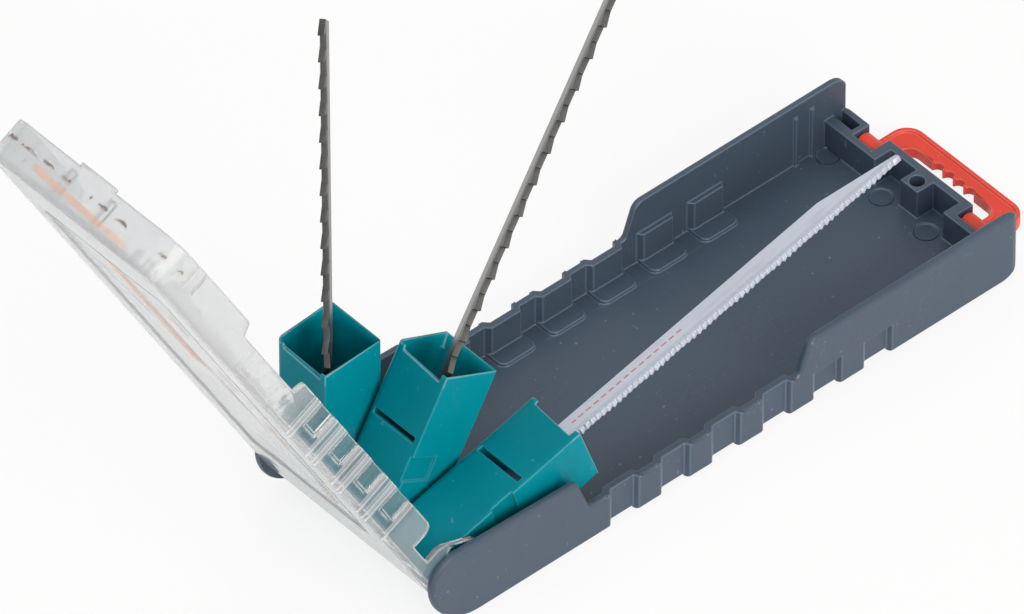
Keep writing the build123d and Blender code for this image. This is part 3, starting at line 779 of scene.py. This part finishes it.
class BLADECASE_OT_blades(Operator):
    """Make the saw blades"""

    bl_idname = "blade_case.blades"
    bl_label = "Blades"

    def execute(self, context):
        colours, sizes = settings().colours, settings().sizes
        band = sizes.tooth_band / MM
        bright = blade_steel("bright_steel", colours.steel,
                             shade(colours.steel, BRIGHT_TOOTH_SHADE),
                             band=band, printed=True)
        dark = blade_steel("dark_steel", colours.dark_steel,
                           shade(colours.dark_steel, DARK_TOOTH_SHADE),
                           band=band * DARK_BAND_SHARE, printed=False)
        for node, pocket in zip(BLADE_NODES, POCKET_NODES):
            fine = node == "blade_front"
            blade = merged_copy(node, node + "_sheet", bright if fine else dark)
            self.set_teeth(blade.data, fine)
            round_edges(blade, sizes.blade_edge, segments=1, sharp=STAMPED_ANGLE)
            settle(blade, node, pocket)
        return {"FINISHED"}

    def set_teeth(self, mesh, fine):
        """Lean the teeth out of the sheet, in a wave or left and right in turn."""
        sizes = settings().sizes
        pitch = sizes.fine_pitch if fine else sizes.tooth_pitch
        thin = max(mesh.polygons, key=lambda face: face.area).normal.copy()
        along = self.back_line(mesh)
        across = self.away_from_teeth(mesh, thin.cross(along))
        low = min(v.co.dot(across) for v in mesh.vertices)
        self.measure(mesh, along, across, low)
        tips = [v for v in mesh.vertices if v.co.dot(across) - low < TIP_DEPTH]
        first = min(v.co.dot(along) for v in tips)
        for vertex in tips:
            step = (vertex.co.dot(along) - first) / pitch
            wave = 2 * math.pi * step * pitch / sizes.wave_length
            side = FINE_LEAN * math.sin(wave) if fine else (-1) ** round(step)
            vertex.co += thin * side * sizes.tooth_set

    def back_line(self, mesh):
        """The direction of the blade's longest sharp edge, towards its tip."""
        turns = {}
        for face in mesh.polygons:
            for key in face.edge_keys:
                turns.setdefault(key, []).append(face.normal)
        sharp = [key for key, (one, other) in turns.items() if one.dot(other) < SHARP_COSINE]
        lines = [mesh.vertices[b].co - mesh.vertices[a].co for a, b in sharp]
        line = max(lines, key=lambda step: step.length).normalized()
        return line if line.z > 0 else -line

    def away_from_teeth(self, mesh, across):
        """The direction across the blade that leads from its many tooth corners to its back."""
        spread = sorted(v.co.dot(across) for v in mesh.vertices)
        middle = spread[len(spread) // 2]
        return -across if spread[-1] - middle < middle - spread[0] else across

    def measure(self, mesh, along, across, low):
        """A map of each corner's place along and across the blade, in millimetres."""
        start = min(v.co.dot(along) for v in mesh.vertices)
        chart = mesh.uv_layers.new(name="along")
        for loop in mesh.loops:
            place = mesh.vertices[loop.vertex_index].co
            chart.data[loop.index].uv = ((place.dot(along) - start) / MM,
                                         (place.dot(across) - low) / MM)


class BLADECASE_OT_handle(Operator):
    """Make the orange hanger handle"""

    bl_idname = "blade_case.handle"
    bl_label = "Handle"

    def execute(self, context):
        colour = settings().colours.handle
        plastic = moulded_plastic("orange_plastic", colour, grain=0.02 * MM, roughness=0.36,
                                  scuff=0.15, specular=0.35)
        # Its rounded edges take a paler orange, a painted highlight along the handle's edges.
        edge = moulded_plastic("orange_edge_highlight", paler(colour, keep=0.94, lift=0.05),
                               grain=0.01 * MM, roughness=0.3, scuff=0.1, specular=0.5)
        handle = merged_copy("hanger_handle", "handle_loop", plastic, edge)
        round_edges(handle, settings().sizes.handle_edge)
        settle(handle, "hanger_handle", "handle")
        return {"FINISHED"}


class BLADECASE_OT_lid(Operator):
    """Make the clear lid"""

    bl_idname = "blade_case.lid"
    bl_label = "Lid"

    def execute(self, context):
        colour, stripe = settings().colours.lid, settings().colours.stripe
        plastic = clear_plastic("clear_plastic", colour, stripe, haze_and_highlight=0.17)
        # The rounded edges take more milky white, a painted highlight along the lid's edges.
        edge = clear_plastic("clear_edge_highlight", colour, stripe, haze_and_highlight=0.5)
        lid = merged_copy("lid", "lid_shell", plastic, edge)
        round_edges(lid, settings().sizes.lid_edge)
        settle(lid, "lid", "lid")
        return {"FINISHED"}


class BLADECASE_OT_label(Operator):
    """Finish the label on the lid"""

    bl_idname = "blade_case.label"
    bl_label = "Label"

    def execute(self, context):
        set_materials(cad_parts["lid_label"].data,
                      label_print("label_print", settings().colours.stripe))
        return {"FINISHED"}


class BLADECASE_PT_panel(Panel):
    """Buttons for the pieces and the stage"""

    bl_label = "Saw blade case"
    bl_space_type = "VIEW_3D"
    bl_region_type = "UI"
    bl_category = "Blade case"

    def draw(self, context):
        for operator in OPERATORS:
            self.layout.operator(operator.bl_idname)
        for group in (settings().sizes, settings().colours, settings().stage):
            box = self.layout.box()
            for name in group.bl_rna.properties.keys():
                if name not in {"rna_type", "name"}:
                    box.prop(group, name)


OPERATORS = (
    BLADECASE_OT_stage, BLADECASE_OT_tray, BLADECASE_OT_rod, BLADECASE_OT_pockets,
    BLADECASE_OT_blades, BLADECASE_OT_handle, BLADECASE_OT_lid, BLADECASE_OT_label,
)
CLASSES = (BladeCaseSizes, BladeCaseColours, BladeCaseStage, BladeCaseSettings,
           *OPERATORS, BLADECASE_PT_panel)


def register():
    for item in CLASSES:
        bpy.utils.register_class(item)
    bpy.types.Scene.blade_case = PointerProperty(type=BladeCaseSettings)


def unregister():
    del bpy.types.Scene.blade_case
    for item in reversed(CLASSES):
        bpy.utils.unregister_class(item)


def main():
    register()
    bpy.ops.blade_case.stage()
    bpy.ops.blade_case.tray()
    bpy.ops.blade_case.rod()
    bpy.ops.blade_case.pockets()
    bpy.ops.blade_case.blades()
    bpy.ops.blade_case.handle()
    bpy.ops.blade_case.lid()
    bpy.ops.blade_case.label()


if __name__ == "__main__":
    main()
